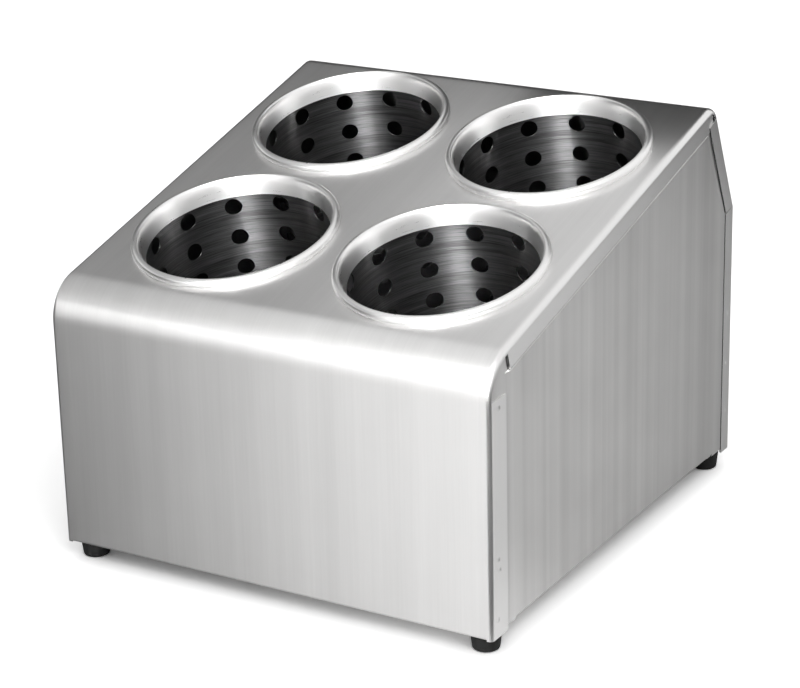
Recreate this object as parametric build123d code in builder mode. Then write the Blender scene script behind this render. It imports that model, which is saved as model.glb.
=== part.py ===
from build123d import *
from math import atan2, cos, hypot, pi, radians, sin, tan
import os

# Slanted stainless steel cutlery holder: a bent sheet housing on four rubber feet, with four
# perforated cups that hang in holes of its sloping top and lift out.
# Millimetres. X runs across the front, Y from front to back, Z up from the feet's undersides.

os.makedirs("parts", exist_ok=True)

# Housing, measured on the outside of the sheet
housing_width = 266.7
housing_depth = 292.1
sheet = 1.0
front_height = 146.8  # from the bottom edge to the sharp corner of the front bend
top_slope = 14.7  # degrees
top_length = 269.0  # along the slope, between the sharp corners of its bends
break_height = 149.6  # from the bottom edge to the break in the back
front_bend = 23.0  # outer radii of the bends
top_bend = 9.0
break_bend = 3.0
bottom_bend = 2.0

# Side strips folded from the wrap over the side panels
fold_bend = 2.2  # outer radius
front_strip = 16.8
top_strip = 12.4
slant_strip = 11.3
back_strip = 11.6
strip_relief = 1.0  # from the end of a bend to the end of a strip
mitre_gap = 1.4

# Return flanges under the housing, which carry the feet
return_flange = 24.0
side_flange = 15.0
side_lift = 2.7  # the side panels end this much above the wrap
flange_gap = 1.0

# Side panels, raised between the strips to lie flush with them
panel_gap = 0.15  # from the panel's edge to the inside of the wrap
joggle_start = 0.3  # from a strip's edge to the foot of the raised field
front_joggle = 4.2  # width of the slope up to the field
top_joggle = 0.6
slant_joggle = 1.2
back_joggle = 1.2
slit_width = 1.3  # slit in the panel in front of the top strip

# Cups and their places along the slope, from the sharp corner of the front bend
cup_pitch = 127.6
front_cup = 78.8
back_cup = 203.1
hole_gap = 0.65  # from the sleeve's edges to the hole in the slope
rim_radius = 57.5
rim_height = 4.0
rim_shoulder = 2.4  # height of the bead's outer shoulder
bead_fall = 1.0  # how far the shoulder and the throat lie in and down from the bead's edge and crest
bead_width = 5.2  # from the outer edge to the throat
mouth_radius = 51.2  # lower edge of the rim's tapering skirt
mouth_depth = 6.7
cup_sheet = 0.8
sleeve_gap = 0.1  # between the skirt and the sleeve
base_gap = 0.1
cup_depth = 137.0
cup_flats = 36  # a cup is drawn with this many, and each column of perforations lies on one

# Perforations
hole_columns = 12
hole_rows = 4
hole_size = 10.0
row_pitch = 19.5
first_row = 14.0  # below the top of the slope
left_turn = -7.0  # degrees that the columns are turned on the left and on the right
right_turn = -11.0
hole_sides = 6  # each perforation is drawn with this many
drain_radius = 26.0
drain_count = 6

# Feet and their fasteners
foot_height = 10.0
foot_radius = 8.3
foot_taper = 6.0  # degrees
foot_round = 2.0
foot_collar = 1.0  # upright edge at the top
foot_inset_x = 10.4
foot_inset_y = 12.2
stud_radius = 2.0
stud_depth = 5.0
stud_top = 6.0  # above the return flange
stud_clearance = 0.25
nut_across_flats = 7.0
nut_height = 3.2
thread_gap = 0.05
foot_flats = 16
stud_flats = 12

# Outline of the bent sheet, seen from the side
half_width = housing_width / 2
half_depth = housing_depth / 2
bottom = foot_height
slope = radians(top_slope)
corners = [
    (-half_depth, bottom),
    (-half_depth, bottom + front_height),
    (-half_depth + top_length * cos(slope), bottom + front_height + top_length * sin(slope)),
    (half_depth, bottom + break_height),
    (half_depth, bottom),
]
bends = [bottom_bend, front_bend, top_bend, break_bend, bottom_bend]


def direction(i):
    """Unit vector along straight number i of the outline, and its length."""
    (y0, z0), (y1, z1) = corners[i], corners[i + 1]
    length = hypot(y1 - y0, z1 - z0)
    return (y1 - y0) / length, (z1 - z0) / length, length


def at(i, along, inward):
    """Point of the side view, along straight number i and in from its outer face."""
    dy, dz, _ = direction(i)
    return corners[i][0] + dy * along + dz * inward, corners[i][1] + dz * along - dy * inward


def half_turn(i):
    """Tangent of half the angle that the sheet turns through at corner i."""
    before = direction(i - 1)
    after = direction(i)
    turn = atan2(before[1], before[0]) - atan2(after[1], after[0])
    return tan(turn / 2)


def meeting(i, inward_before, inward_after):
    """Where the lines inside straights i - 1 and i meet, each this far in from the outer face."""
    before = direction(i - 1)
    after = direction(i)
    y0, z0 = at(i - 1, 0, inward_before)
    y1, z1 = at(i, 0, inward_after)
    cross = before[0] * after[1] - before[1] * after[0]
    along = ((y1 - y0) * after[1] - (z1 - z0) * after[0]) / cross
    return y0 + before[0] * along, z0 + before[1] * along


# The four straights that carry a strip: where each strip starts and ends, and its width
front_tangent = front_bend * half_turn(1)
top_tangent = top_bend * half_turn(2)
lengths = [direction(i)[2] for i in range(4)]
strips = [
    (0, 0.0, lengths[0] - front_tangent - strip_relief, front_strip),
    (1, front_tangent + strip_relief, lengths[1] - top_tangent - strip_relief, top_strip),
    (2, top_tangent + strip_relief, lengths[2] - mitre_gap / 2, slant_strip),
    (3, mitre_gap / 2, lengths[3], back_strip),
]
mitre = half_turn(3)


# Cup section, as radius and height above the slope
throat_radius = rim_radius - bead_width
throat_height = rim_height - bead_fall
skirt_lean = (throat_radius - mouth_radius) / (throat_height + mouth_depth)
skirt_outside = mouth_radius + skirt_lean * mouth_depth + cup_sheet  # at the slope's surface
sleeve_inside = skirt_outside + sleeve_gap
sleeve_outside = sleeve_inside + cup_sheet
plate_hole = sleeve_outside / cos(pi / cup_flats) + hole_gap

# Housing wrap: one sheet bent over the front, the slope and the back
with BuildPart() as body_wrap:
    with BuildSketch(Plane.YZ):
        with BuildLine():
            FilletPolyline(*corners, radius=bends, close=True)
        make_face()
        offset(amount=-sheet, mode=Mode.SUBTRACT)
    extrude(amount=half_width)
    # the bottom stays open between the return flanges, which clear the side panels
    with BuildSketch(Plane.XY.offset(bottom)):
        Rectangle(housing_width, housing_depth - 2 * return_flange)
        for side in (-1, 1):
            with Locations((side * (half_width - sheet - flange_gap / 2), 0)):
                Rectangle(2 * sheet + flange_gap, housing_depth - 2 * sheet)
    extrude(amount=bottom_bend, mode=Mode.SUBTRACT)
    # each strip: a round fold along the edge, and a flat that lies over the side panel
    for i, start, end, width in strips:
        dy, dz, _ = direction(i)
        fold_end = end - mitre * fold_bend if i == 2 else end
        fold_start = start + mitre * fold_bend if i == 3 else start
        plane = Plane(
            origin=(half_width - fold_bend, *at(i, fold_start, 0)), x_dir=(1, 0, 0), z_dir=(0, dy, dz)
        )
        with BuildSketch(plane):
            Rectangle(fold_bend, fold_bend, align=Align.MIN)
        extrude(amount=fold_end - fold_start, mode=Mode.SUBTRACT)
        with BuildSketch(plane):
            with BuildLine():
                CenterArc((0, fold_bend), fold_bend, -90, 90)
                Line((fold_bend, fold_bend), (fold_bend - sheet, fold_bend))
                CenterArc((0, fold_bend), fold_bend - sheet, -90, 90)
                Line((0, sheet), (0, 0))
            make_face()
        extrude(amount=fold_end - fold_start)
        start_trim = mitre * width if i == 3 else 0.0
        end_trim = mitre * width if i == 2 else 0.0
        with BuildSketch(Plane.YZ.offset(half_width - sheet)):
            with BuildLine():
                Polyline(
                    at(i, fold_start, fold_bend),
                    at(i, fold_end, fold_bend),
                    at(i, end - end_trim, width),
                    at(i, start + start_trim, width),
                    close=True,
                )
            make_face()
        extrude(amount=sheet)
    # round holes for the cups, and small ones for the foot studs
    for place in (front_cup, back_cup):
        dy, dz, _ = direction(1)
        y, z = at(1, place, 0)
        with BuildSketch(Plane(origin=(cup_pitch / 2, y, z), x_dir=(1, 0, 0), z_dir=(0, -dz, dy))):
            Circle(plate_hole)
        extrude(amount=2 * sheet, both=True, mode=Mode.SUBTRACT)
    with BuildSketch(Plane.XY.offset(bottom)):
        with Locations(*[(half_width - foot_inset_x, s * (half_depth - foot_inset_y)) for s in (-1, 1)]):
            RegularPolygon(stud_radius + stud_clearance, stud_flats)
    extrude(amount=sheet, mode=Mode.SUBTRACT)
    mirror(about=Plane.YZ)
body_wrap.part.label = "body_wrap"
export_step(body_wrap.part, "parts/body_wrap.step")


# Side panels: each lies inside the strips, with a field raised flush with them
side_bottom = bottom + side_lift
edge = sheet + panel_gap


def field(extra_front, extra_top, extra_slant, extra_back):
    """Outline of the raised field in the side view, each edge this far from its strip's edge."""
    front_in = front_strip + extra_front
    back_in = back_strip + extra_back
    return [
        (-half_depth + front_in, side_bottom),
        meeting(1, front_in, top_strip + extra_top),
        meeting(2, top_strip + extra_top, slant_strip + extra_slant),
        meeting(3, slant_strip + extra_slant, back_in),
        (half_depth - back_in, side_bottom),
    ]


field_foot = field(joggle_start, joggle_start, joggle_start, joggle_start)
field_top = field(
    joggle_start + front_joggle,
    joggle_start + top_joggle,
    joggle_start + slant_joggle,
    joggle_start + back_joggle,
)
for side, side_name in ((-1, "left"), (1, "right")):
    with BuildPart() as panel:
        # flat border under the strips, following the inside of the wrap
        with BuildSketch(Plane.YZ.offset(half_width - 2 * sheet)) as border:
            with BuildLine():
                FilletPolyline(*corners, radius=bends, close=True)
            make_face()
            offset(amount=-edge, mode=Mode.REPLACE)
            with Locations((0, side_bottom)):
                Rectangle(
                    housing_depth, housing_depth, align=(Align.CENTER, Align.MAX), mode=Mode.SUBTRACT
                )
            # room for the folds of the strips, and the slit in front of the top strip
            for i, start, end, width in strips:
                before = start - strip_relief
                after = end + strip_relief
                with BuildLine():
                    Polyline(
                        at(i, before, 0),
                        at(i, after, 0),
                        at(i, after, fold_bend + panel_gap),
                        at(i, before, fold_bend + panel_gap),
                        close=True,
                    )
                make_face(mode=Mode.SUBTRACT)
            slit_end = strips[1][1] - panel_gap
            with BuildLine():
                Polyline(
                    at(1, slit_end - slit_width, fold_bend),
                    at(1, slit_end, fold_bend),
                    at(1, slit_end, top_strip),
                    at(1, slit_end - slit_width, top_strip),
                    close=True,
                )
            make_face(mode=Mode.SUBTRACT)
        extrude(amount=sheet)
        # the field is pressed out of the border, so its back is hollow by the same step
        for step, how in ((sheet, Mode.ADD), (0.0, Mode.SUBTRACT)):
            with BuildSketch(Plane.YZ.offset(half_width - 2 * sheet + step)):
                with BuildLine():
                    Polyline(*field_foot, close=True)
                make_face()
            with BuildSketch(Plane.YZ.offset(half_width - sheet + step)):
                with BuildLine():
                    Polyline(*field_top, close=True)
                make_face()
            loft(mode=how)
        # return flange along the bottom, between the flanges that carry the feet
        reach = housing_depth - 2 * (return_flange + flange_gap)
        flange_plane = Plane(
            origin=(half_width, -reach / 2, side_bottom), x_dir=(-1, 0, 0), z_dir=(0, 1, 0)
        )
        with BuildSketch(flange_plane):
            Rectangle(bottom_bend, bottom_bend, align=Align.MIN)
        extrude(amount=reach, mode=Mode.SUBTRACT)
        with BuildSketch(flange_plane):
            with BuildLine():
                FilletPolyline(
                    (0, 2 * bottom_bend), (0, 0), (side_flange, 0), radius=bottom_bend
                )
                offset(amount=sheet, side=Side.LEFT)
            make_face()
        extrude(amount=reach)
        if side < 0:
            mirror(about=Plane.YZ, mode=Mode.REPLACE)
    panel.part.label = side_name + "_side_panel"
    export_step(panel.part, "parts/" + panel.part.label + ".step")


# Cups: each hangs by its rim in a hole of the slope
def cup_plane(x, along):
    """Plane on the slope's outer face at a cup's centre, with its third axis along the cup's."""
    dy, dz, _ = direction(1)
    return Plane(origin=(x, *at(1, along, 0)), x_dir=(1, 0, 0), z_dir=(0, -dz, dy))


cups = [
    ("front_left", -cup_pitch / 2, front_cup, left_turn),
    ("front_right", cup_pitch / 2, front_cup, right_turn),
    ("back_left", -cup_pitch / 2, back_cup, left_turn),
    ("back_right", cup_pitch / 2, back_cup, right_turn),
]
for name, x, along, turn in cups:
    seat = cup_plane(x, along)
    flat_turn = 90 - turn + 180 / cup_flats

    # rim: a raised bead that rests on the slope, with a skirt that tapers into the cup
    crest_radius = rim_radius - bead_width / 2
    bead = ((rim_radius, 0), (rim_radius - bead_fall, rim_shoulder), (crest_radius, rim_height))
    skirt = ((mouth_radius + cup_sheet, -mouth_depth), (skirt_outside, 0))
    throat = ((mouth_radius, -mouth_depth), (throat_radius, throat_height), (crest_radius, rim_height))
    with BuildPart() as rim:
        for outline, how in ((bead, Mode.ADD), (skirt, Mode.ADD), (throat, Mode.SUBTRACT)):
            for radius, height in outline:
                with BuildSketch(seat.offset(height)):
                    RegularPolygon(radius, cup_flats)
            loft(ruled=True, mode=how)
    rim.part.label = name + "_cup_rim"
    export_step(rim.part, "parts/" + rim.part.label + ".step")

    # sleeve: the tall wall, perforated in straight columns, one column to every third flat
    with BuildPart() as sleeve:
        with BuildSketch(seat):
            RegularPolygon(sleeve_outside, cup_flats, major_radius=False, rotation=flat_turn)
            RegularPolygon(
                sleeve_inside, cup_flats, major_radius=False, rotation=flat_turn, mode=Mode.SUBTRACT
            )
        extrude(amount=-cup_depth)
        drills = []
        for row in range(hole_rows):
            level = seat.origin - seat.z_dir * (first_row + row * row_pitch)
            for column in range(hole_columns // 2):
                angle = radians(turn + column * 360 / hole_columns)
                outward = seat.x_dir * sin(angle) + seat.y_dir * cos(angle)
                drills.append(Plane(origin=level, x_dir=seat.z_dir, z_dir=outward))
        with BuildSketch(*drills):
            RegularPolygon(hole_size / 2, hole_sides)
        extrude(amount=sleeve_outside + cup_sheet, both=True, mode=Mode.SUBTRACT)
    sleeve.part.label = name + "_cup_sleeve"
    export_step(sleeve.part, "parts/" + sleeve.part.label + ".step")

    # base: a drained disc inside the foot of the sleeve
    with BuildPart() as base:
        with BuildSketch(seat.offset(-cup_depth)):
            RegularPolygon(sleeve_inside - base_gap, cup_flats, major_radius=False, rotation=flat_turn)
            RegularPolygon(hole_size / 2, hole_sides, mode=Mode.SUBTRACT)
            with PolarLocations(drain_radius, drain_count):
                RegularPolygon(hole_size / 2, hole_sides, mode=Mode.SUBTRACT)
        extrude(amount=cup_sheet)
    base.part.label = name + "_cup_base"
    export_step(base.part, "parts/" + base.part.label + ".step")


# Feet: rubber, each bonded to a stud that passes through a return flange to its nut
foot_places = {}
for y_side, y_name in ((-1, "front"), (1, "back")):
    for x_side, x_name in ((-1, "left"), (1, "right")):
        place = (x_side * (half_width - foot_inset_x), y_side * (half_depth - foot_inset_y))
        foot_places[y_name + "_" + x_name] = place

for name, (x, y) in foot_places.items():
    with BuildPart() as foot:
        with BuildSketch(Plane(origin=(x, y, foot_height))):
            RegularPolygon(foot_radius, foot_flats)
        extrude(amount=-foot_height)
        taper_height = foot_height - foot_collar
        for inward, upward in ((taper_height * tan(radians(foot_taper)), taper_height), (foot_round, foot_round)):
            underside = foot.faces().sort_by(Axis.Z)[0]
            chamfer(underside.edges(), length=inward, length2=upward, reference=underside)
        with BuildSketch(Plane(origin=(x, y, foot_height))):
            RegularPolygon(stud_radius + thread_gap, stud_flats)
        extrude(amount=-stud_depth, mode=Mode.SUBTRACT)
    foot.part.label = name + "_foot"
    export_step(foot.part, "parts/" + foot.part.label + ".step")

with BuildPart() as foot_studs:
    with BuildSketch(Plane.XY.offset(foot_height - stud_depth)):
        with Locations(*foot_places.values()):
            RegularPolygon(stud_radius, stud_flats)
    extrude(amount=stud_depth + sheet + stud_top)
foot_studs.part.label = "foot_studs"
export_step(foot_studs.part, "parts/foot_studs.step")

with BuildPart() as foot_nuts:
    with BuildSketch(Plane.XY.offset(foot_height + sheet)):
        with Locations(*foot_places.values()):
            RegularPolygon(nut_across_flats / 2, 6, major_radius=False)
            RegularPolygon(stud_radius + thread_gap, stud_flats, mode=Mode.SUBTRACT)
    extrude(amount=nut_height)
foot_nuts.part.label = "foot_nuts"
export_step(foot_nuts.part, "parts/foot_nuts.step")
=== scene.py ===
from math import atan2, cos, pi, radians, sin, tan

import bmesh
import bpy
from mathutils import Matrix, Vector

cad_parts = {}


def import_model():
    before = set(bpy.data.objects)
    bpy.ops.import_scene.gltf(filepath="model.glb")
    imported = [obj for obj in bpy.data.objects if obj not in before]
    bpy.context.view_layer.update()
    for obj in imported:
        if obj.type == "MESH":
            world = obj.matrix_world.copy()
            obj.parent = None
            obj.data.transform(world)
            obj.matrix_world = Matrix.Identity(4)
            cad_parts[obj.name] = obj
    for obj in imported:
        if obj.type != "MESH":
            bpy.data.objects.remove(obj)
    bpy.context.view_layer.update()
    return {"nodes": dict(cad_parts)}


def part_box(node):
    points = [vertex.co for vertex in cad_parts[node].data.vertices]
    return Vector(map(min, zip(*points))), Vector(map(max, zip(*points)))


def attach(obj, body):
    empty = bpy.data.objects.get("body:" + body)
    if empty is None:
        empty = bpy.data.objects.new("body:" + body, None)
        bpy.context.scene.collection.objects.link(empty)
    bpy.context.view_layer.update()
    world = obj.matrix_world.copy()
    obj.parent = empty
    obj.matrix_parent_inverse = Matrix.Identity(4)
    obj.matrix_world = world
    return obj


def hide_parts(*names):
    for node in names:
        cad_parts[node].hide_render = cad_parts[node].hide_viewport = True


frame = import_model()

# Sizes in metres, most of them as in the part's source
MM = 0.001
ACROSS = Vector((1, 0, 0))

# The housing's sheet, in its side view from the front flange over the slope to the back flange
HALF_WIDTH = 133.35 * MM
HALF_DEPTH = 146.05 * MM
HOUSING_BOTTOM = 10.0 * MM
FRONT_HEIGHT = 146.8 * MM
SLOPE = radians(14.7)
UP_SLOPE = Vector((0, cos(SLOPE), sin(SLOPE)))
SLOPE_START = Vector((0.0, -HALF_DEPTH, HOUSING_BOTTOM + FRONT_HEIGHT))  # sharp corner of the front bend
SLOPE_LENGTH = 272.0 * MM
BREAK_HEIGHT = 149.6 * MM  # of the break in the back
SHEET = 1.0 * MM
RETURN_FLANGE = 24.0 * MM

# Outer radii and numbers of steps of the five bends, then what each of the four straights has
BENDS = [2.0 * MM, 24.0 * MM, 10.0 * MM, 3.0 * MM, 2.0 * MM]
BEND_STEPS = [5, 16, 12, 6, 5]
FOLDS = [2.3 * MM, 3.6 * MM, 2.9 * MM, 2.4 * MM]  # outer radii of the folds to the side strips
STRIPS = [16.8 * MM, 12.4 * MM, 11.3 * MM, 11.6 * MM]  # widths
STRIP_STARTS = [0.0, 18.7 * MM, 8.8 * MM, 0.7 * MM]  # along each straight, from its sharp corner
STRIP_ENDS = [18.7 * MM, 10.9 * MM, 0.7 * MM, 0.0]  # short of the far corner
SLANTED, UPRIGHT = 2, 3  # the two straights of the back, whose strips meet in a mitre
MITRE = 0.235  # tangent of half the turn at the break in the back
LEDGE = 1.0 * MM  # flat left beside each fold where the return flange starts
FOLD_STEP = 15  # degrees
BROKEN_EDGE = 0.12 * MM

# Dimples of the spot welds: a ball pressed in at these y and z in mm, less deep along the slope
WELD_MARKS = [
    (-137.0, 133.0), (-139.0, 53.0), (-137.5, 47.0), (-139.5, 20.0), (139.0, 96.0), (138.0, 66.0),
    (139.0, 36.0), (-60.0, 171.0), (20.0, 192.0), (85.0, 209.0),
]
WELD_BALL = 4.0 * MM
WELD_DEPTH = 0.40 * MM
FAINT_DEPTH = 0.15 * MM
UPRIGHT_FROM = 100.0  # from this y on, towards either end, marks are on upright strips, in mm

# Cups
CUP_AXIS = Vector((0, -sin(SLOPE), cos(SLOPE)))
CUP_PITCH = 127.6 * MM
CUP_PLACES = {"front": 78.8 * MM, "back": 203.1 * MM}  # up the slope
CUP_SIDES = {"left": (-1, -7.0), "right": (1, -11.0)}  # side, and turn of the columns in degrees
PLATE_HOLE = 54.5 * MM
CUTTER_DEPTH = 12.0 * MM

BEAD_FOOT = 57.1 * MM
BEAD_BULGE = (58.1 * MM, 1.7 * MM)  # pulls the bead's curve outwards
BEAD_SHOULDER = 56.8 * MM
CREST_RADIUS = 54.5 * MM
RIM_HEIGHT = 4.0 * MM
THROAT = (53.2 * MM, 52.4 * MM, -0.4 * MM)  # two radii and a height that shape the funnel's curve
MOUTH_RADIUS = 50.7 * MM
MOUTH_DEPTH = 6.7 * MM
SLEEVE_TOP = 3.3 * MM  # below the slope, where the funnel has narrowed enough
CUP_SHEET = 0.8 * MM
SLEEVE_RADIUS = 52.87 * MM  # inside
CUP_DEPTH = 137.0 * MM
COLUMNS = 12
ROWS = 4
HOLE_RADIUS = 5.0 * MM
ROW_PITCH = 19.5 * MM
FIRST_ROW = 14.0 * MM
HOLE_SIDES = 24
TILE_RINGS = (0.4, 1.0)  # how far out towards the tile's edge each ring of faces round a hole ends

FOOT_RADIUS = 8.3 * MM
FOOT_HEIGHT = 10.0 * MM
FOOT_BOTTOM = 7.35 * MM
FOOT_ROUND = 1.4 * MM
FOOT_COLLAR = 1.0 * MM
FOOT_TAPER = 6  # degrees

# Flats round a full turn
RIM_STEPS = 144
HOLE_STEPS = 96
FOOT_STEPS = 48


# Meshes
def add_object(name, mesh):
    """A new object of this mesh in the scene."""
    made = bpy.data.objects.new(name, mesh)
    bpy.context.scene.collection.objects.link(made)
    return made


def mesh_from(name, points, faces):
    """Object from points and faces, with its faces turned outwards."""
    mesh = bpy.data.meshes.new(name)
    mesh.from_pydata([tuple(p) for p in points], [], faces)
    mesh.validate()
    made = add_object(name, mesh)
    outward(made)
    return made


def outward(made, weld=1e-7):
    """Weld doubles and turn every face outwards."""
    work = bmesh.new()
    work.from_mesh(made.data)
    bmesh.ops.remove_doubles(work, verts=work.verts, dist=weld)
    bmesh.ops.recalc_face_normals(work, faces=work.faces)
    work.to_mesh(made.data)
    work.free()


def soften(made, sharp=radians(30)):
    """Smooth shading, broken only at edges sharper than this."""
    made.data.shade_smooth()
    work = bmesh.new()
    work.from_mesh(made.data)
    for edge in work.edges:
        if len(edge.link_faces) != 2 or edge.calc_face_angle(0.0) > sharp:
            edge.smooth = False
    work.to_mesh(made.data)
    work.free()


def revolve(name, outline, place, steps):
    """Closed ring or disc from an outline of (radius, height) pairs turned about the place's axis."""
    points, faces, rings = [], [], []
    for radius, height in outline:
        if radius < 1e-9:
            rings.append([len(points)])
            points.append(place @ Vector((0, 0, height)))
            continue
        rings.append(list(range(len(points), len(points) + steps)))
        for step in range(steps):
            turn = 2 * pi * step / steps
            points.append(place @ Vector((radius * cos(turn), radius * sin(turn), height)))
    pairs = list(zip(rings, rings[1:] + rings[:1]))
    for lower, upper in pairs:
        if len(lower) == 1 and len(upper) == 1:
            continue
        for step in range(steps):
            after = (step + 1) % steps
            corners = [lower[step % len(lower)], lower[after % len(lower)]]
            corners += [upper[after % len(upper)], upper[step % len(upper)]]
            faces.append(list(dict.fromkeys(corners)))
    return mesh_from(name, points, faces)


def arc(centre, radius, start, end, steps):
    """Points of an arc in the (radius, height) plane, angles in degrees."""
    turns = [radians(start + (end - start) * i / steps) for i in range(steps + 1)]
    return [(centre[0] + radius * cos(t), centre[1] + radius * sin(t)) for t in turns]


def map_surface(made, rule):
    """UV map named grain: rule gives (across, along) in metres for a corner's place and its face's normal."""
    layer = made.data.uv_layers.new(name="grain")
    for face in made.data.polygons:
        for corner in face.loop_indices:
            point = made.data.vertices[made.data.loops[corner].vertex_index].co
            layer.data[corner].uv = rule(point, face.normal)


def map_round(made, place):
    """UV map named grain on a round piece: height along its axis, and turns about it from 0 to 1."""
    layer = made.data.uv_layers.new(name="grain")
    back = place.inverted()
    for face in made.data.polygons:
        turns = []
        for corner in face.loop_indices:
            point = back @ made.data.vertices[made.data.loops[corner].vertex_index].co
            turn = atan2(point.y, point.x) / (2 * pi) + 0.5
            if turns and turn < turns[0] - 0.5:
                turn += 1.0
            elif turns and turn > turns[0] + 0.5:
                turn -= 1.0
            turns.append(turn)
            layer.data[corner].uv = (point.z, turn)


def from_solid(node, name, edge_width):
    """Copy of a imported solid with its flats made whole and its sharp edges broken."""
    made = add_object(name, frame["nodes"][node].data.copy())
    work = bmesh.new()
    work.from_mesh(made.data)
    bmesh.ops.remove_doubles(work, verts=work.verts, dist=1e-6)
    bmesh.ops.dissolve_limit(work, angle_limit=radians(0.4), verts=work.verts, edges=work.edges)
    bmesh.ops.recalc_face_normals(work, faces=work.faces)
    work.to_mesh(made.data)
    work.free()
    soften(made)
    break_edges(made, edge_width, radians(30))
    return made


def plainly(made):
    """Turn what the modifiers give into the object's plain mesh."""
    graph = bpy.context.evaluated_depsgraph_get()
    mesh = bpy.data.meshes.new_from_object(made.evaluated_get(graph), depsgraph=graph)
    made.modifiers.clear()
    made.data = mesh
    return made


# Node trees
def tree_input(tree, name, kind, value=None):
    made = tree.interface.new_socket(name=name, in_out="INPUT", socket_type=kind)
    if value is not None:
        made.default_value = value
    return made


def tree_output(tree, name, kind):
    return tree.interface.new_socket(name=name, in_out="OUTPUT", socket_type=kind)


def node(tree, kind, _links=None, **settings):
    """New node with its settings, and its inputs linked or set by name or number."""
    made = tree.nodes.new(kind)
    for name, value in settings.items():
        setattr(made, name, value)
    for key, value in (_links or {}).items():
        socket = made.inputs[key]
        if isinstance(value, bpy.types.NodeSocket):
            tree.links.new(value, socket)
        else:
            socket.default_value = value
    return made


def maths(tree, operation, *values):
    made = node(tree, "ShaderNodeMath", dict(enumerate(values)), operation=operation)
    return made.outputs[0]


def times(tree, first, second):
    return maths(tree, "MULTIPLY", first, second)


def less(tree, first, second):
    return maths(tree, "SUBTRACT", first, second)


# Perforated wall of a cup, as a node tree
CLOSE = 0.01 * MM  # points closer than this become one


def merged(tree, geometry):
    made = node(tree, "GeometryNodeMergeByDistance", {"Geometry": geometry, "Distance": CLOSE})
    return made.outputs[0]


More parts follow.
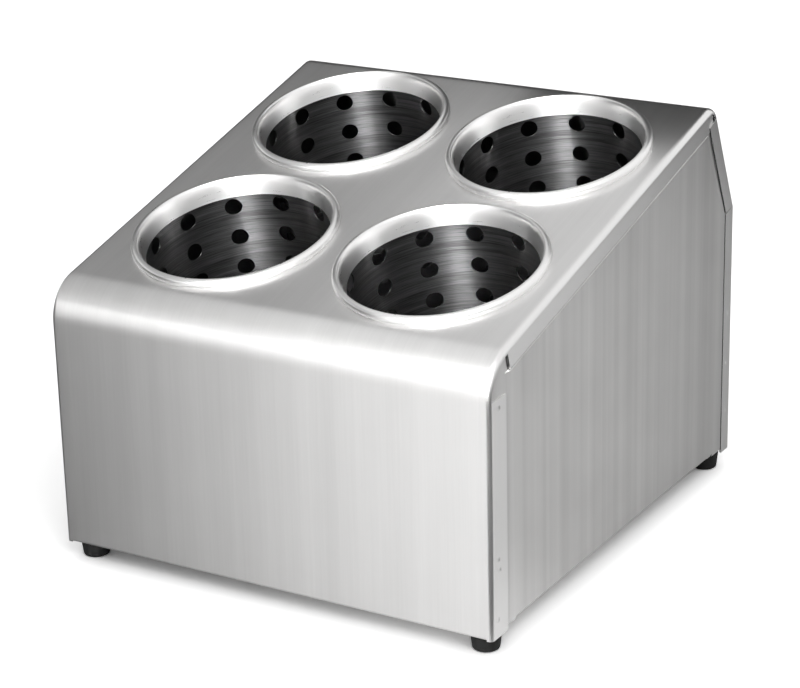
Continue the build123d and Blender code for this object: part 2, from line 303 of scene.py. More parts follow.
def perforated_tree():
    """One tile with a round hole, laid out in rows and columns, closed at both ends and rolled up."""
    tree = bpy.data.node_groups.new("perforated_wall", "GeometryNodeTree")
    tree_input(tree, "Geometry", "NodeSocketGeometry")
    tree_input(tree, "Columns", "NodeSocketInt", COLUMNS)
    tree_input(tree, "Rows", "NodeSocketInt", ROWS)
    tree_input(tree, "Hole Radius", "NodeSocketFloat", HOLE_RADIUS)
    tree_input(tree, "Row Pitch", "NodeSocketFloat", ROW_PITCH)
    tree_input(tree, "First Row", "NodeSocketFloat", FIRST_ROW)
    tree_input(tree, "Top", "NodeSocketFloat", SLEEVE_TOP)
    tree_input(tree, "Depth", "NodeSocketFloat", CUP_DEPTH)
    tree_input(tree, "Inner Radius", "NodeSocketFloat", SLEEVE_RADIUS)
    tree_input(tree, "Sheet", "NodeSocketFloat", CUP_SHEET)
    tree_input(tree, "Material", "NodeSocketMaterial")
    tree_output(tree, "Geometry", "NodeSocketGeometry")
    given = tree.nodes.new("NodeGroupInput").outputs
    half_width = maths(tree, "DIVIDE", times(tree, given["Inner Radius"], pi), given["Columns"])
    half_pitch = times(tree, given["Row Pitch"], 0.5)

    # the tile: a ring of faces from the round hole out to the tile's square edge
    hole = node(tree, "GeometryNodeMeshCircle", {"Vertices": HOLE_SIDES, "Radius": given["Hole Radius"]})
    place = node(tree, "GeometryNodeInputPosition").outputs[0]
    parts = node(tree, "ShaderNodeSeparateXYZ", {0: place}).outputs
    widest = maths(tree, "MAXIMUM", maths(tree, "ABSOLUTE", parts[0]), maths(tree, "ABSOLUTE", parts[1]))
    edge = node(tree, "ShaderNodeCombineXYZ", {
        0: times(tree, maths(tree, "DIVIDE", parts[0], widest), half_width),
        1: times(tree, maths(tree, "DIVIDE", parts[1], widest), half_pitch),
    }).outputs[0]
    kept = node(tree, "GeometryNodeStoreNamedAttribute", {
        "Geometry": hole.outputs["Mesh"], "Name": "tile_edge", "Value": edge,
    }, data_type="FLOAT_VECTOR", domain="POINT")
    edge_kept = node(tree, "GeometryNodeInputNamedAttribute", {"Name": "tile_edge"}, data_type="FLOAT_VECTOR")
    tile, chosen = kept.outputs[0], None
    for share in TILE_RINGS:
        links = {"Mesh": tile, "Offset Scale": 0.0}
        if chosen is not None:
            links["Selection"] = chosen
        grown = node(tree, "GeometryNodeExtrudeMesh", links, mode="EDGES")
        spread = node(tree, "ShaderNodeMix", {
            "Factor": share, "A": place, "B": edge_kept.outputs[0],
        }, data_type="VECTOR")
        tile = node(tree, "GeometryNodeSetPosition", {
            "Geometry": grown.outputs["Mesh"], "Selection": grown.outputs["Top"],
            "Position": vector_result(spread),
        }).outputs[0]
        chosen = grown.outputs["Top"]

    # rows and columns
    count = times(tree, given["Columns"], given["Rows"])
    number = node(tree, "GeometryNodeInputIndex").outputs[0]
    row = maths(tree, "FLOOR", maths(tree, "DIVIDE", maths(tree, "ADD", number, 0.5), given["Columns"]))
    column = less(tree, number, times(tree, row, given["Columns"]))
    down = maths(tree, "ADD", given["First Row"], times(tree, row, given["Row Pitch"]))
    spot = node(tree, "ShaderNodeCombineXYZ", {
        0: times(tree, times(tree, column, half_width), 2.0),
        1: times(tree, down, -1.0),
    }).outputs[0]
    spots = node(tree, "GeometryNodePoints", {"Count": count, "Position": spot})
    laid = node(tree, "GeometryNodeInstanceOnPoints", {"Points": spots.outputs[0], "Instance": tile})
    sheet = node(tree, "GeometryNodeRealizeInstances", {"Geometry": laid.outputs[0]}).outputs[0]
    sheet = merged(tree, sheet)

    # plain bands above the first row and below the last: side, limit of height, reach and steps
    upper = less(tree, half_pitch, given["First Row"])
    last = times(tree, less(tree, given["Rows"], 0.5), given["Row Pitch"])
    lower = times(tree, maths(tree, "ADD", given["First Row"], last), -1.0)
    up = less(tree, times(tree, upper, -1.0), given["Top"])
    down = less(tree, times(tree, given["Depth"], -1.0), lower)
    bands = (
        ("GREATER_THAN", less(tree, upper, CLOSE), up, 1),
        ("LESS_THAN", maths(tree, "ADD", lower, CLOSE), down, 4),
    )
    for side, limit, reach, steps in bands:
        height = node(tree, "ShaderNodeSeparateXYZ", {0: place}).outputs[1]
        at_edge = node(tree, "FunctionNodeCompare", {0: height, 1: limit}, data_type="FLOAT", operation=side)
        chosen = at_edge.outputs[0]
        move = node(tree, "ShaderNodeCombineXYZ", {1: maths(tree, "DIVIDE", reach, float(steps))}).outputs[0]
        for _ in range(steps):
            grown = node(tree, "GeometryNodeExtrudeMesh", {
                "Mesh": sheet, "Selection": chosen, "Offset Scale": 0.0,
            }, mode="EDGES")
            sheet = node(tree, "GeometryNodeSetPosition", {
                "Geometry": grown.outputs["Mesh"], "Selection": grown.outputs["Top"], "Offset": move,
            }).outputs[0]
            chosen = grown.outputs["Top"]

    # rolled up, welded along the seam and given its thickness
    flat = node(tree, "ShaderNodeSeparateXYZ", {0: place}).outputs
    turn = maths(tree, "DIVIDE", flat[0], given["Inner Radius"])
    rolled = node(tree, "ShaderNodeCombineXYZ", {
        0: times(tree, maths(tree, "SINE", turn), given["Inner Radius"]),
        1: times(tree, maths(tree, "COSINE", turn), given["Inner Radius"]),
        2: flat[1],
    }).outputs[0]
    sheet = node(tree, "GeometryNodeSetPosition", {"Geometry": sheet, "Position": rolled}).outputs[0]
    sheet = merged(tree, sheet)
    away = node(tree, "ShaderNodeVectorMath", {0: place, 1: (1, 1, 0)}, operation="MULTIPLY").outputs[0]
    away = node(tree, "ShaderNodeVectorMath", {0: away}, operation="NORMALIZE").outputs[0]
    away = node(tree, "ShaderNodeVectorMath", {0: away, "Scale": given["Sheet"]}, operation="SCALE").outputs[0]
    thick = node(tree, "GeometryNodeExtrudeMesh", {
        "Mesh": sheet, "Offset Scale": 0.0, "Individual": False,
    }, mode="FACES")
    outer = node(tree, "GeometryNodeSetPosition", {
        "Geometry": thick.outputs["Mesh"], "Selection": thick.outputs["Top"], "Offset": away,
    }).outputs[0]
    inner = node(tree, "GeometryNodeFlipFaces", {0: sheet}).outputs[0]
    both = tree.nodes.new("GeometryNodeJoinGeometry")
    tree.links.new(outer, both.inputs[0])
    tree.links.new(inner, both.inputs[0])
    whole = merged(tree, both.outputs[0])
    dressed = node(tree, "GeometryNodeSetMaterial", {"Geometry": whole, "Material": given["Material"]})
    tree.links.new(dressed.outputs[0], tree.nodes.new("NodeGroupOutput").inputs[0])
    return tree


def vector_result(mix):
    return next(s for s in mix.outputs if s.enabled and s.type == "VECTOR")


def from_tree(name, tree, values):
    """Plain mesh that a node tree makes with these values."""
    made = add_object(name, bpy.data.meshes.new(name))
    modifier = made.modifiers.new("made", "NODES")
    modifier.node_group = tree
    for item in tree.interface.items_tree:
        if item.item_type == "SOCKET" and item.in_out == "INPUT" and item.name in values:
            modifier[item.identifier] = values[item.name]
    return plainly(made)


# Finishes
def grain_group():
    """Fine brushed lines and soft broad streaks, for coordinates already stretched along the grain."""
    tree = bpy.data.node_groups.new("brushed_grain", "ShaderNodeTree")
    tree_input(tree, "Vector", "NodeSocketVector")
    tree_input(tree, "Fine Scale", "NodeSocketFloat", 2500.0)
    tree_input(tree, "Streak Scale", "NodeSocketFloat", 60.0)
    tree_output(tree, "Lines", "NodeSocketFloat")
    tree_output(tree, "Streaks", "NodeSocketFloat")
    given = tree.nodes.new("NodeGroupInput").outputs
    fine = node(tree, "ShaderNodeTexNoise", {
        "Vector": given["Vector"], "Scale": given["Fine Scale"], "Detail": 4.0, "Roughness": 0.6,
    })
    broad = node(tree, "ShaderNodeTexNoise", {
        "Vector": given["Vector"], "Scale": given["Streak Scale"], "Detail": 3.0, "Roughness": 0.55,
    })
    out = tree.nodes.new("NodeGroupOutput")
    tree.links.new(fine.outputs["Fac"], out.inputs["Lines"])
    tree.links.new(broad.outputs["Fac"], out.inputs["Streaks"])
    return tree


def patch_group():
    """Soft uneven patches that neither follow the grain nor repeat."""
    tree = bpy.data.node_groups.new("soft_patches", "ShaderNodeTree")
    tree_input(tree, "Vector", "NodeSocketVector")
    tree_input(tree, "Scale", "NodeSocketFloat", 25.0)
    tree_output(tree, "Patches", "NodeSocketFloat")
    given = tree.nodes.new("NodeGroupInput").outputs
    cloud = node(tree, "ShaderNodeTexNoise", {
        "Vector": given["Vector"], "Scale": given["Scale"], "Detail": 2.0, "Roughness": 0.5,
    })
    out = tree.nodes.new("NodeGroupOutput")
    tree.links.new(cloud.outputs["Fac"], out.inputs["Patches"])
    return tree


def new_material(name):
    """New material with its node tree and its shader."""
    made = bpy.data.materials.new(name)
    made.use_nodes = True
    tree = made.node_tree
    shader = tree.nodes["Principled BSDF"]
    return made, tree, shader


def between(tree, mask, low, high):
    """A value that runs from low to high as the mask goes from 0.3 to 0.7."""
    made = node(tree, "ShaderNodeMapRange", {
        "Value": mask, "From Min": 0.3, "From Max": 0.7, "To Min": low, "To Max": high,
    })
    return made.outputs[0]


def round_place(tree):
    """Place on a round piece, from its own map of height and turns, as if the piece stood at the origin."""
    mapped = node(tree, "ShaderNodeUVMap", uv_map="grain").outputs[0]
    flat = node(tree, "ShaderNodeSeparateXYZ", {0: mapped}).outputs
    turn = times(tree, flat[1], 2 * pi)
    return node(tree, "ShaderNodeCombineXYZ", {
        0: times(tree, maths(tree, "COSINE", turn), SLEEVE_RADIUS),
        1: times(tree, maths(tree, "SINE", turn), SLEEVE_RADIUS),
        2: flat[0],
    }).outputs[0]


def grey(tree, tone):
    return node(tree, "ShaderNodeCombineXYZ", {0: tone, 1: tone, 2: tone}).outputs[0]


def scaled(tree, colour, tone):
    return node(tree, "ShaderNodeVectorMath", {0: colour, "Scale": tone}, operation="SCALE").outputs[0]


def steel(name, colour, spread, stretch, rough, brushing, fine=2500.0, streak=60.0, depth=0.000004,
          fine_spread=0.5, rough_spread=0.05, round_piece=False):
    """Brushed steel: its colour and roughness change with the grain's lines and streaks.

    spread is the share by which its tone goes up and down, stretch draws the grain out along an axis,
    rough is the roughness, brushing its unevenness across the grain, fine and streak the grain's
    scales, and depth the height of its lines in metres."""
    made, tree, shader = new_material(name)
    where = node(tree, "ShaderNodeTexCoord").outputs
    placed = round_place(tree) if round_piece else where["Object"]
    drawn = node(tree, "ShaderNodeVectorMath", {0: placed, 1: stretch}, operation="MULTIPLY").outputs[0]
    lines = node(tree, "ShaderNodeGroup", node_tree=GRAIN)
    tree.links.new(drawn, lines.inputs["Vector"])
    lines.inputs["Fine Scale"].default_value = fine
    lines.inputs["Streak Scale"].default_value = streak
    cloud = node(tree, "ShaderNodeGroup", node_tree=PATCHES)
    tree.links.new(where["Object"], cloud.inputs["Vector"])
    fine_reach = spread * fine_spread
    fine_tone = between(tree, lines.outputs["Lines"], 1.0 - fine_reach, 1.0 + fine_reach)
    streak_tone = between(tree, lines.outputs["Streaks"], 1.0 - spread, 1.0 + spread)
    patch_reach = spread * 0.3
    cloud_tone = between(tree, cloud.outputs["Patches"], 1.0 - patch_reach, 1.0 + patch_reach)
    tone = times(tree, times(tree, fine_tone, streak_tone), cloud_tone)
    tree.links.new(scaled(tree, colour, tone), shader.inputs["Base Color"])
    shine = between(tree, lines.outputs["Lines"], rough - rough_spread, rough + rough_spread)
    tree.links.new(shine, shader.inputs["Roughness"])
    bump = node(tree, "ShaderNodeBump", {
        "Strength": 0.35, "Distance": depth, "Height": lines.outputs["Lines"],
    })
    tree.links.new(bump.outputs[0], shader.inputs["Normal"])
    across = node(tree, "ShaderNodeTangent", direction_type="UV_MAP", uv_map="grain")
    tree.links.new(across.outputs[0], shader.inputs["Tangent"])
    shader.inputs["Metallic"].default_value = 1.0
    shader.inputs["Anisotropic"].default_value = brushing
    return made


def rubber():
    """Black rubber with a fine uneven skin."""
    made, tree, shader = new_material("black_rubber")
    where = node(tree, "ShaderNodeTexCoord").outputs["Object"]
    cloud = node(tree, "ShaderNodeGroup", node_tree=PATCHES)
    tree.links.new(where, cloud.inputs["Vector"])
    cloud.inputs["Scale"].default_value = 900.0
    tone = between(tree, cloud.outputs["Patches"], 0.010, 0.020)
    tree.links.new(grey(tree, tone), shader.inputs["Base Color"])
    tree.links.new(between(tree, cloud.outputs["Patches"], 0.5, 0.7), shader.inputs["Roughness"])
    shader.inputs["Specular IOR Level"].default_value = 0.2
    bump = node(tree, "ShaderNodeBump", {
        "Strength": 0.3, "Distance": 0.00005, "Height": cloud.outputs["Patches"],
    })
    tree.links.new(bump.outputs[0], shader.inputs["Normal"])
    return made


def plain_steel(name, colour, rough):
    """Satin steel of a small fastener or a hidden disc, a little uneven."""
    made, tree, shader = new_material(name)
    where = node(tree, "ShaderNodeTexCoord").outputs["Object"]
    cloud = node(tree, "ShaderNodeGroup", node_tree=PATCHES)
    tree.links.new(where, cloud.inputs["Vector"])
    cloud.inputs["Scale"].default_value = 300.0
    tone = between(tree, cloud.outputs["Patches"], 0.9, 1.1)
    tree.links.new(scaled(tree, colour, tone), shader.inputs["Base Color"])
    shine = between(tree, cloud.outputs["Patches"], rough - 0.05, rough + 0.05)
    tree.links.new(shine, shader.inputs["Roughness"])
    shader.inputs["Metallic"].default_value = 1.0
    return made


GRAIN = grain_group()
PATCHES = patch_group()
WRAP_STEEL = steel("wrap_steel", (0.80, 0.795, 0.79), 0.035, (1.0, 0.02, 0.02), 0.30, 0.3,
                   fine=700.0, streak=60.0, depth=0.0000004, fine_spread=0.5, rough_spread=0.01)
# side panels: own grain across, with a colour darker than the wrap's steel that is painted shade of the sides
SHADED_PANEL_STEEL = steel("panel_steel_painted_shade", (0.66, 0.655, 0.65), 0.11, (0.2, 1.0, 0.01), 0.36, 0.3,
                    fine=700.0, streak=70.0, depth=0.0000008, fine_spread=0.15, rough_spread=0.015)
RIM_STEEL = steel("rim_steel", (0.88, 0.875, 0.87), 0.02, (0.05, 0.05, 1.0), 0.30, 0.3,
                  fine=1200.0, depth=0.000001, fine_spread=0.5, rough_spread=0.03, round_piece=True)
# inner face of the cup walls: near-black, painted shade deep inside the cups
SHADED_SLEEVE_STEEL = steel("sleeve_steel", (0.08, 0.08, 0.081), 0.25, (0.02, 0.02, 1.0), 0.42, 0.9,
                     fine=2400.0, streak=500.0, depth=0.000006, fine_spread=2.0, round_piece=True)
OUTSIDE_STEEL = steel("sleeve_outside", (0.55, 0.55, 0.56), 0.10, (0.05, 0.05, 1.0), 0.36, 0.5,
                      fine=1300.0, depth=0.000002, round_piece=True)
# dark steel inside the housing: painted shade
SHADED_INSIDE_STEEL = plain_steel("inside_steel_painted_shade", (0.10, 0.10, 0.10), 0.6)
FASTENER_STEEL = plain_steel("fastener_steel", (0.55, 0.55, 0.54), 0.35)
BASE_STEEL = plain_steel("base_steel", (0.35, 0.36, 0.37), 0.4)
RUBBER = rubber()


def dress(made, material, body, slot, *nodes):
    """Give a finished piece its material and its body, and hide the solids it stands for; slot is not used."""
    made.data.materials.clear()
    made.data.materials.append(material)
    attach(made, body)
    if nodes:
        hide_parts(*nodes)
    return made


def refinish(name, material):
    """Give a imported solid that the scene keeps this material."""
    kept = frame["nodes"][name]
    kept.data.materials.clear()
    kept.data.materials.append(material)


# Housing
def shade_inside(made):
    """Give the faces that look into the housing a dark dull steel: the sheet's mill-finished other side, darkened
    as painted shade inside the housing.
    """
    made.data.materials.append(SHADED_INSIDE_STEEL)
    middle = Vector((0.0, 0.0, 90.0 * MM))
    turned_in, underside = 40.0 * MM, 12.0 * MM
    for face in made.data.polygons:
        inward = face.normal.dot(middle - face.center)
        if inward > turned_in and face.center.z > underside:
            face.material_index = 1


def side_view():
    """Sharp corners of the sheet's outline in the side view, as Y and Z."""
    rise = SLOPE_START + UP_SLOPE * SLOPE_LENGTH
    return [
        Vector((-HALF_DEPTH, HOUSING_BOTTOM)), Vector((-HALF_DEPTH, HOUSING_BOTTOM + FRONT_HEIGHT)),
        Vector((rise.y, rise.z)), Vector((HALF_DEPTH, HOUSING_BOTTOM + BREAK_HEIGHT)),
        Vector((HALF_DEPTH, HOUSING_BOTTOM)),
    ]


def around(before, corner, after, bend):
    """Stations round a bend: each a point of the outer face and the way in from it."""
    radius, steps = BENDS[bend], BEND_STEPS[bend]
    coming, leaving = (corner - before).normalized(), (after - corner).normalized()
    turn = coming.angle(leaving)
    start = corner - coming * (radius * tan(turn / 2))
    inward = Vector((coming.y, -coming.x))
    centre = start + inward * radius
    made = []
    for i in range(steps + 1):
        c, s = cos(-turn * i / steps), sin(-turn * i / steps)
        way = Vector((inward.x * c - inward.y * s, inward.x * s + inward.y * c))
        made.append((centre - way * radius, way))
    return made


def stations():
    """Stations of the front flange, the main part and the back flange, and which of them have a strip.

    Each station is a point of the outer face, the way in from it and the fold's radius there. The
    last list has, for each straight, the numbers of the main part's cells that carry its strip."""
    corners = side_view()
    up = Vector((0, 1))
    front_end = corners[0] + Vector((RETURN_FLANGE, 0))
    back_end = corners[4] - Vector((RETURN_FLANGE, 0))
    front_flange = [(front_end, up)] + around(front_end, corners[0], corners[1], 0)
    back_flange = around(corners[3], corners[4], back_end, 4) + [(back_end, up)]
    main, strips = [], []
    for i in range(4):
        start, end = corners[i], corners[i + 1]
        along = (end - start).normalized()
        inward = Vector((along.y, -along.x))
        length = (end - start).length
        if i:
            bend = around(corners[i - 1], start, end, i)
            for k, (place, way) in enumerate(bend):
                share = k / (len(bend) - 1)
                main.append((place, way, FOLDS[i - 1] * (1 - share) + FOLDS[i] * share))
        low, high = STRIP_STARTS[i], length - STRIP_ENDS[i]
        places = [low, BENDS[0]] if i == 0 else [low]
        places += [length - BENDS[4], high] if i == 3 else [high]
        strips.append(range(len(main), len(main) + len(places) - 1))
        main += [(start + along * reach, inward, FOLDS[i]) for reach in places]
    first = [(place, way, FOLDS[0]) for place, way in front_flange]
    last = [(place, way, FOLDS[3]) for place, way in back_flange]
    return first, main, last, strips


def sheet_shell(name):
    """The bent sheet with its folded strips: its outer face, and the same face a sheet further in."""
    first, main, last, strips = stations()
    outer, inner, known, faces = [], [], {}, []

    def spot(station, side, bow, width=0.0, skew=0.0):
        """Vertex of a cross section.

        bow None is beside the fold, else it is degrees round the fold. A width puts the vertex on the
        strip's free edge, and skew moves it along the strip."""
        place, way, radius = station
        pair = []
        for depth in (0.0, SHEET):
            if width:
                x, inward = HALF_WIDTH - depth, width
            elif bow is None:
                x, inward = HALF_WIDTH - radius - LEDGE, depth
            else:
                x = HALF_WIDTH - radius + (radius - depth) * sin(radians(bow))
                inward = radius - (radius - depth) * cos(radians(bow))
            along = Vector((-way.y, way.x)) * skew
            pair.append((side * x, *(place + way * inward + along)))
        key = tuple(round(c * 1e7) for c in pair[0])
        if key not in known:
            known[key] = len(outer)
            outer.append(pair[0])
            inner.append(pair[1])
        return known[key]

    middle = first + main[1:-1] + last
    for one, two in zip(middle, middle[1:]):
        faces.append([spot(one, -1, None), spot(one, 1, None), spot(two, 1, None), spot(two, -1, None)])
    bows = [None] + list(range(0, 91, FOLD_STEP))
    for side in (-1, 1):
        for one, two in zip(main, main[1:]):
            for b0, b1 in zip(bows, bows[1:]):
                faces.append([spot(one, side, b0), spot(one, side, b1), spot(two, side, b1), spot(two, side, b0)])
        for i, cells in enumerate(strips):
            slant = MITRE * (STRIPS[i] - FOLDS[i])
            for k in cells:
                start_skew = slant if i == UPRIGHT and k == cells[0] else 0.0
                end_skew = -slant if i == SLANTED and k == cells[-1] else 0.0
                one, two = main[k], main[k + 1]
                faces.append([spot(one, side, 90), spot(one, side, 90, STRIPS[i], start_skew),
                              spot(two, side, 90, STRIPS[i], end_skew), spot(two, side, 90)])
    count = len(outer)
    used = {}
    for face in faces:
        for a, b in zip(face, face[1:] + face[:1]):
            used.setdefault(frozenset((a, b)), []).append((a, b))
    free_edges = [pairs[0] for pairs in used.values() if len(pairs) == 1]
    shell = list(faces) + [[v + count for v in reversed(face)] for face in faces]
    shell += [[b, a, a + count, b + count] for a, b in free_edges]
    return mesh_from(name, outer + inner, shell)


def cutter():
    """Round holes for the cups and shallow dimples for the spot welds, as one mesh."""
    work = bmesh.new()
    for row in CUP_PLACES:
        for side in CUP_SIDES:
            bmesh.ops.create_cone(work, segments=HOLE_STEPS, cap_ends=True, radius1=PLATE_HOLE, radius2=PLATE_HOLE,
                                  depth=CUTTER_DEPTH, matrix=cup_place(row, side)[0])
    for y, z in WELD_MARKS:
        depth = FAINT_DEPTH if abs(y) < UPRIGHT_FROM else WELD_DEPTH
        for side in (-1, 1):
            centre = Matrix.Translation((side * (HALF_WIDTH + WELD_BALL - depth), y * MM, z * MM))
            bmesh.ops.create_icosphere(work, subdivisions=4, radius=WELD_BALL, matrix=centre)
    mesh = bpy.data.meshes.new("cutter")
    work.to_mesh(mesh)
    work.free()
    return add_object("cutter", mesh)


def break_edges(made, width, sharp):
    """Small round on every edge sharper than this, with flat faces kept flat, as modifiers."""
    broken = made.modifiers.new("broken_edges", "BEVEL")
    broken.width = width
    broken.segments = 2
    broken.limit_method = "ANGLE"
    broken.angle_limit = sharp
    flats = made.modifiers.new("flat_faces", "WEIGHTED_NORMAL")
    flats.keep_sharp = True


def bent_sheet(name):
    made = sheet_shell(name)
    tool = cutter()
    cut = made.modifiers.new("cut", "BOOLEAN")
    cut.operation = "DIFFERENCE"
    cut.solver = "EXACT"
    cut.object = tool
    plainly(made)
    bpy.data.objects.remove(tool)
    soften(made)
    break_edges(made, BROKEN_EDGE, radians(40))
    return plainly(made)


def wrap_grain(point, normal):
    """Across by X, or by Y on the strips that face sideways, and along by Y and Z."""
    faces_sideways = abs(normal.x) >= 0.7
    return (point.y if faces_sideways else point.x, point.y + point.z)


def housing():
    wrap = bent_sheet("bent_wrap")
    map_surface(wrap, wrap_grain)
    dress(wrap, WRAP_STEEL, "housing", "housing_steel", "body_wrap")
    shade_inside(wrap)
    for side in ("left", "right"):
        panel = plainly(from_solid(side + "_side_panel", side + "_panel", 0.15 * MM))
        map_surface(panel, lambda p, n: (p.y, p.z))
        dress(panel, SHADED_PANEL_STEEL, "housing", "housing_steel", side + "_side_panel")
        shade_inside(panel)


def feet():
    collar_bottom = FOOT_HEIGHT - FOOT_COLLAR
    round_centre, round_steps = (FOOT_BOTTOM - FOOT_ROUND, FOOT_ROUND), 8
    outline = [(0.0, 0.0)]
    outline += arc(round_centre, FOOT_ROUND, -90, -FOOT_TAPER, round_steps)
    outline += [(FOOT_RADIUS, collar_bottom), (FOOT_RADIUS, FOOT_HEIGHT), (0.0, FOOT_HEIGHT)]
    for name in ("front_left", "front_right", "back_left", "back_right"):
        low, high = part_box(name + "_foot")
        middle = (low + high) / 2
        place = Matrix.Translation((middle.x, middle.y, 0.0))
        foot = revolve(name + "_rubber_foot", outline, place, FOOT_STEPS)
        soften(foot, radians(40))
        dress(foot, RUBBER, "housing", "foot_rubber", name + "_foot")
    for name in ("foot_studs", "foot_nuts"):
        refinish(name, FASTENER_STEEL)


# Cups
def cup_place(row, side):
    """Where a cup sits: its origin on the slope, its second axis up the slope and its third along the cup."""
    sign, turn = CUP_SIDES[side]
    origin = SLOPE_START + UP_SLOPE * CUP_PLACES[row] + ACROSS * (sign * CUP_PITCH / 2)
    axes = Matrix((ACROSS, UP_SLOPE, CUP_AXIS)).transposed().to_4x4()
    return Matrix.Translation(origin) @ axes, radians(turn)


def curve(start, first, second, end, steps):
    """Points of a smooth curve that leaves start towards first and comes to end from second."""
    points = []
    for i in range(steps + 1):
        t = i / steps
        shares = ((1 - t) ** 3, 3 * t * (1 - t) ** 2, 3 * t * t * (1 - t), t ** 3)
        points.append(tuple(sum(w * p[k] for w, p in zip(shares, (start, first, second, end))) for k in (0, 1)))
    return points


def rim_outline():
    """Section of the broad soft bead and the funnel inside it, as radius and height above the slope."""
    bead_steps, funnel_steps = 12, 14
    lower, wider = 0.1 * MM, 0.2 * MM  # of the funnel's underside, and of its end on the slope
    crest = (CREST_RADIUS, RIM_HEIGHT)
    bead = curve((BEAD_FOOT, 0.0), BEAD_BULGE, (BEAD_SHOULDER, RIM_HEIGHT), crest, bead_steps)
    mouth = (MOUTH_RADIUS, -MOUTH_DEPTH)
    funnel = curve(crest, (THROAT[0], RIM_HEIGHT), (THROAT[1], THROAT[2]), mouth, funnel_steps)
    under = [(r + CUP_SHEET, h - lower) for r, h in reversed(funnel) if h < 0.0]
    return bead + funnel[1:] + under + [(under[-1][0] + wider, 0.0)]


def brighten_outside(wall, place):
    """Give the outer face of a cup's wall plain steel, brighter than its inner face, whose dark colour is painted
    shade.
    """
    wall.data.materials.append(OUTSIDE_STEEL)
    back = place.inverted()
    outside = SLEEVE_RADIUS + CUP_SHEET * 0.6
    for face in wall.data.polygons:
        if (back @ face.center).xy.length > outside:
            face.material_index = 1


def cups(tree):
    for row in CUP_PLACES:
        for side in CUP_SIDES:
            name = row + "_" + side + "_cup"
            place, turn = cup_place(row, side)
            rim = revolve(name + "_bead", rim_outline(), place, RIM_STEPS)
            soften(rim, radians(35))
            map_round(rim, place)
            dress(rim, RIM_STEEL, name, "rim_steel", name + "_rim")
            wall = from_tree(name + "_wall", tree, {"Material": SHADED_SLEEVE_STEEL})
            wall.data.transform(place @ Matrix.Rotation(-turn, 4, "Z"))
            outward(wall)
            soften(wall)
            map_round(wall, place)
            dress(wall, SHADED_SLEEVE_STEEL, name, "sleeve_steel", name + "_sleeve")
            brighten_outside(wall, place)
            refinish(name + "_base", BASE_STEEL)


# Camera, floor and light
def camera():
    """Long lens from the right of the front, a little above."""
    azimuth, elevation, roll = radians(31.03), radians(19.99), radians(-1.38)
    target = Vector((0.0, -7.2 * MM, 102.2 * MM))
    distance = 1426.6 * MM
    back = Vector((sin(azimuth) * cos(elevation), -cos(azimuth) * cos(elevation), sin(elevation)))
    right = Vector((cos(azimuth), sin(azimuth), 0.0))
    up = back.cross(right)
    turned_right = cos(roll) * right + sin(roll) * up
    turned_up = -sin(roll) * right + cos(roll) * up
    data = bpy.data.cameras.new("camera")  # its sensor and lens are in mm
    data.sensor_width = 36.0
    data.lens = 115.2
    data.clip_start = 0.05
    data.clip_end = 50.0
    made = bpy.data.objects.new("camera", data)
    bpy.context.scene.collection.objects.link(made)
    axes = Matrix((turned_right, turned_up, back)).transposed().to_4x4()
    made.matrix_world = Matrix.Translation(target + back * distance) @ axes
    bpy.context.scene.camera = made


def seen_directly(tree):
    """1 for rays that go straight to the camera or that polished metal or glass sends on."""
    path = tree.nodes.new("ShaderNodeLightPath").outputs
    shown = maths(tree, "MAXIMUM", path["Is Camera Ray"], path["Is Glossy Ray"])
    return maths(tree, "MAXIMUM", shown, path["Is Transmission Ray"])


def fade(tree, value, start, end, before, after):
    """Soft step of a value: before up to start, after from end on. Named steps list these four in order."""
    made = node(tree, "ShaderNodeMapRange", {
        "Value": value, "From Min": start, "From Max": end, "To Min": before, "To Max": after,
    }, interpolation_type="SMOOTHSTEP")
    return made.outputs[0]


def level(tree, place, by_x, by_y, middle, least, most):
    """Tone that changes evenly over the floor by X and Y from its middle, held between least and most."""
    tone = maths(tree, "ADD", times(tree, place[0], by_x), times(tree, place[1], by_y))
    tone = maths(tree, "ADD", tone, middle)
    return maths(tree, "MINIMUM", maths(tree, "MAXIMUM", tone, least), most)


def mix(tree, share, first, second):
    links = {"Factor": share, "A": first, "B": second}
    return node(tree, "ShaderNodeMix", links, data_type="FLOAT").outputs[0]


def placed_at(tree):
    """X, Y and Z of the shaded point."""
    where = node(tree, "ShaderNodeTexCoord").outputs["Object"]
    return node(tree, "ShaderNodeSeparateXYZ", {0: where}).outputs


def beside_corners(tree, place):
    """1 on the floor beside the two front corners, where painted dark lies for the upright folds to reflect."""
    front_lean, side_lean = 0.30, 0.9  # slopes of the lines that bound the dark parts
    right_step = (-0.01, 0.03, 0.0, 1.0)
    left_end, left_front = (-0.04, 0.0, 1.0, 0.0), (-0.02, 0.06, 0.0, 1.0)
    back = maths(tree, "ADD", place[1], HALF_DEPTH)
    across = less(tree, place[0], HALF_WIDTH)
    beyond = fade(tree, less(tree, across, times(tree, back, front_lean)), *right_step)
    ahead = fade(tree, less(tree, times(tree, across, side_lean), back), *right_step)
    right = times(tree, beyond, ahead)
    across = maths(tree, "ADD", place[0], HALF_WIDTH)
    beyond = fade(tree, across, *left_end)
    behind = fade(tree, less(tree, back, times(tree, across, side_lean)), *left_front)
    left = times(tree, beyond, behind)
    return maths(tree, "MAXIMUM", left, right)


def painted_reflection_floor(tree, place):
    """Painted reflection for polished metal: light and shade painted on the floor, grey at the front left, bright
    at the right, darker far behind and beside the front corners.
    """
    front_tones = (3.8, -2.6, 0.43, 0.30, 1.7)
    side_tones = (2.6, -1.3, 0.355, 0.15, 1.3)
    past_front, far_back = (-0.15, 0.02, 0.0, 1.0), (0.65, 0.95, 1.0, 0.25)
    # painted dark on the floor beside the front corners, for the folds to reflect
    corner_painted_dark = 0.08
    front = level(tree, place, *front_tones)
    side = times(tree, level(tree, place, *side_tones), fade(tree, place[1], *far_back))
    lit = mix(tree, fade(tree, place[1], *past_front), front, side)
    return times(tree, lit, mix(tree, beside_corners(tree, place), 1.0, corner_painted_dark))


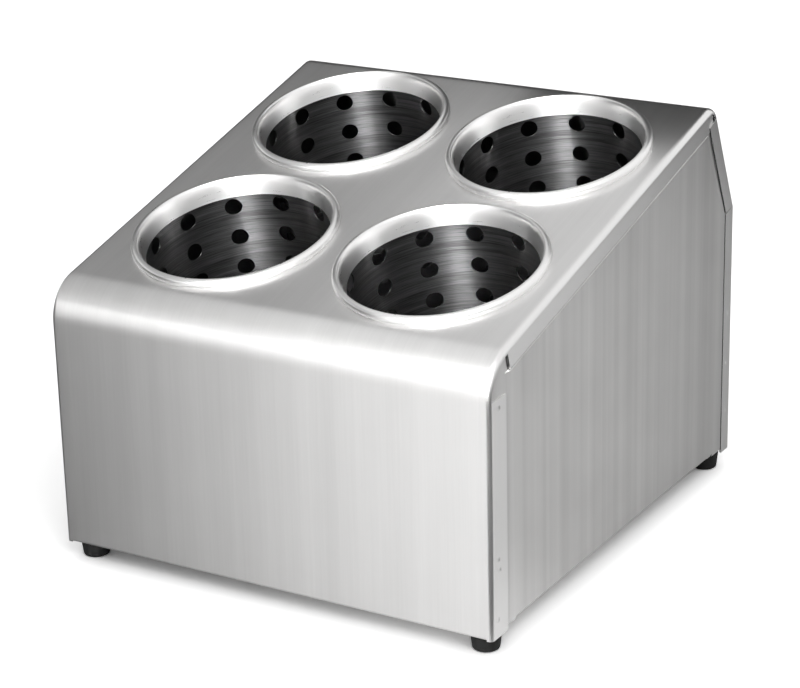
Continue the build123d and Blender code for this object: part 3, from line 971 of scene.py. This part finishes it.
def floor():
    """White floor with painted shade under the housing, and painted reflection tones of its own for polished
    metal.
    """
    size = 4.0
    corners = [(-size, -size, 0), (size, -size, 0), (size, size, 0), (-size, size, 0)]
    made = mesh_from("floor", corners, [(0, 1, 2, 3)])
    material, tree, shader = new_material("white_floor")
    tree.nodes.remove(shader)
    path = tree.nodes.new("ShaderNodeLightPath").outputs
    place = placed_at(tree)
    # the floor under the housing, seen through the holes, is dark with painted shade
    white, under_housing_shade_tone, for_soft_light = 1.9, 0.02, 0.8
    dark_in_x, dark_in_y = (0.09, 0.10, 1.0, 0.0), (0.105, 0.115, 1.0, 0.0)
    polished = maths(tree, "MAXIMUM", path["Is Glossy Ray"], path["Is Transmission Ray"])
    inside = times(tree, fade(tree, maths(tree, "ABSOLUTE", place[0]), *dark_in_x),
                   fade(tree, maths(tree, "ABSOLUTE", place[1]), *dark_in_y))
    shown = mix(tree, inside, white, under_housing_shade_tone)
    sent_on = mix(tree, polished, for_soft_light, painted_reflection_floor(tree, place))
    bright = mix(tree, path["Is Camera Ray"], sent_on, shown)
    cover = node(tree, "ShaderNodeBsdfDiffuse", {"Color": grey(tree, bright)})
    tree.links.new(cover.outputs[0], tree.nodes["Material Output"].inputs["Surface"])
    made.data.materials.append(material)


def card(name, corners, strength):
    """Glowing card that only polished metal shows; strength gives its glow from its node tree."""
    made = mesh_from(name, corners, [(0, 1, 2, 3)])
    material, tree, shader = new_material(name)
    tree.nodes.remove(shader)
    depth = tree.nodes.new("ShaderNodeLightPath").outputs["Diffuse Depth"]
    bounced = maths(tree, "MINIMUM", depth, 1.0)
    glow = node(tree, "ShaderNodeEmission", {"Strength": mix(tree, bounced, strength(tree), 0.0)})
    tree.links.new(glow.outputs[0], tree.nodes["Material Output"].inputs["Surface"])
    made.data.materials.append(material)
    made.visible_camera = made.visible_diffuse = made.visible_shadow = made.visible_transmission = False


def flat_corners(low, high, height):
    """Corners of a level card from its low and high X and Y."""
    return [(low[0], low[1], height), (high[0], low[1], height),
            (high[0], high[1], height), (low[0], high[1], height)]


def ceiling_cards():
    """Grey cards overhead, brighter to the right and dark at the back, and two dark ones close behind."""
    def over_top(tree):
        to_right, to_back, last = (-0.44, -0.08, 0.22, 0.78), (0.30, 0.40, 1.0, 1.45), (0.42, 0.48, 1.0, 0.02)
        place = placed_at(tree)
        bright = times(tree, fade(tree, place[0], *to_right), fade(tree, place[1], *to_back))
        return times(tree, bright, fade(tree, place[1], *last))

    def over_front(tree):
        to_right = (-0.50, -0.20, 0.35, 0.86)
        return fade(tree, placed_at(tree)[0], *to_right)

    def dark(tree):
        return 0.02

    high, low = 0.62, 0.30
    card("ceiling_card", flat_corners((-0.75, 0.10), (0.12, 0.95), high), over_top)
    card("front_card", flat_corners((-0.95, -0.95), (0.12, 0.10), high), over_front)
    card("corner_card", flat_corners((-0.02, 0.135), (0.14, 0.30), low), dark)
    card("back_card", flat_corners((-0.30, 0.175), (-0.02, 0.40), low), dark)


def streak_card():
    """Tall narrow card in front, whose glint runs down the walls of the cups."""
    azimuth, distance, half_width = radians(13.0), 1.3, 0.11
    low, high, glow = 0.35, 1.25, 135.0
    middle = Vector((sin(azimuth), -cos(azimuth), 0.0)) * distance
    across = Vector((cos(azimuth), sin(azimuth), 0.0)) * half_width
    corners = [middle + side * across + Vector((0, 0, z))
               for side, z in ((-1, low), (1, low), (1, high), (-1, high))]
    card("streak_card", corners, lambda tree: glow)


def world():
    """Plain white room; polished metal finds dark bands along the horizon behind and to the left."""
    made = bpy.data.worlds.new("white_room")
    bpy.context.scene.world = made
    made.use_nodes = True
    tree = made.node_tree
    path = tree.nodes.new("ShaderNodeLightPath").outputs
    way = node(tree, "ShaderNodeTexCoord").outputs["Generated"]
    way = node(tree, "ShaderNodeSeparateXYZ", {0: way}).outputs
    plain, dark, for_soft_light = 1.0, 0.04, 0.6
    high_band, to_back, short_of_right = (0.40, 0.62, 1.0, 0.0), (0.15, 0.45, 0.0, 1.0), (0.05, 0.35, 1.0, 0.0)
    low_band, to_left = (0.15, 0.35, 1.0, 0.0), (-0.75, -0.55, 1.0, 0.0)
    behind = times(tree, fade(tree, way[2], *high_band), fade(tree, way[1], *to_back))
    behind = times(tree, behind, fade(tree, way[0], *short_of_right))
    left = times(tree, fade(tree, way[2], *low_band), fade(tree, way[0], *to_left))
    band = maths(tree, "MAXIMUM", behind, left)
    seen = mix(tree, times(tree, band, path["Is Glossy Ray"]), plain, dark)
    strength = mix(tree, seen_directly(tree), for_soft_light, seen)
    background = tree.nodes["Background"]
    background.inputs["Color"].default_value = (1.0, 1.0, 1.0, 1.0)
    tree.links.new(strength, background.inputs["Strength"])


def lamp(name, place, target, size, power):
    """Soft lamp of this width and height that looks from its place at its target."""
    data = bpy.data.lights.new(name, "AREA")
    data.shape = "RECTANGLE"
    data.size, data.size_y = size
    data.energy = power
    made = bpy.data.objects.new(name, data)
    bpy.context.scene.collection.objects.link(made)
    place = Vector(place)
    made.location = place
    made.rotation_mode = "QUATERNION"
    made.rotation_quaternion = (Vector(target) - place).to_track_quat("-Z", "Y")


def studio():
    floor()
    ceiling_cards()
    streak_card()
    world()
    place, target, size, watts = (0.9, -1.0, 1.2), (0, 0, 0.1), (0.8, 0.8), 6.0
    lamp("key_lamp", place, target, size, watts)


camera()
studio()
housing()
feet()
cups(perforated_tree())
bpy.context.scene.view_settings.view_transform = "Standard"
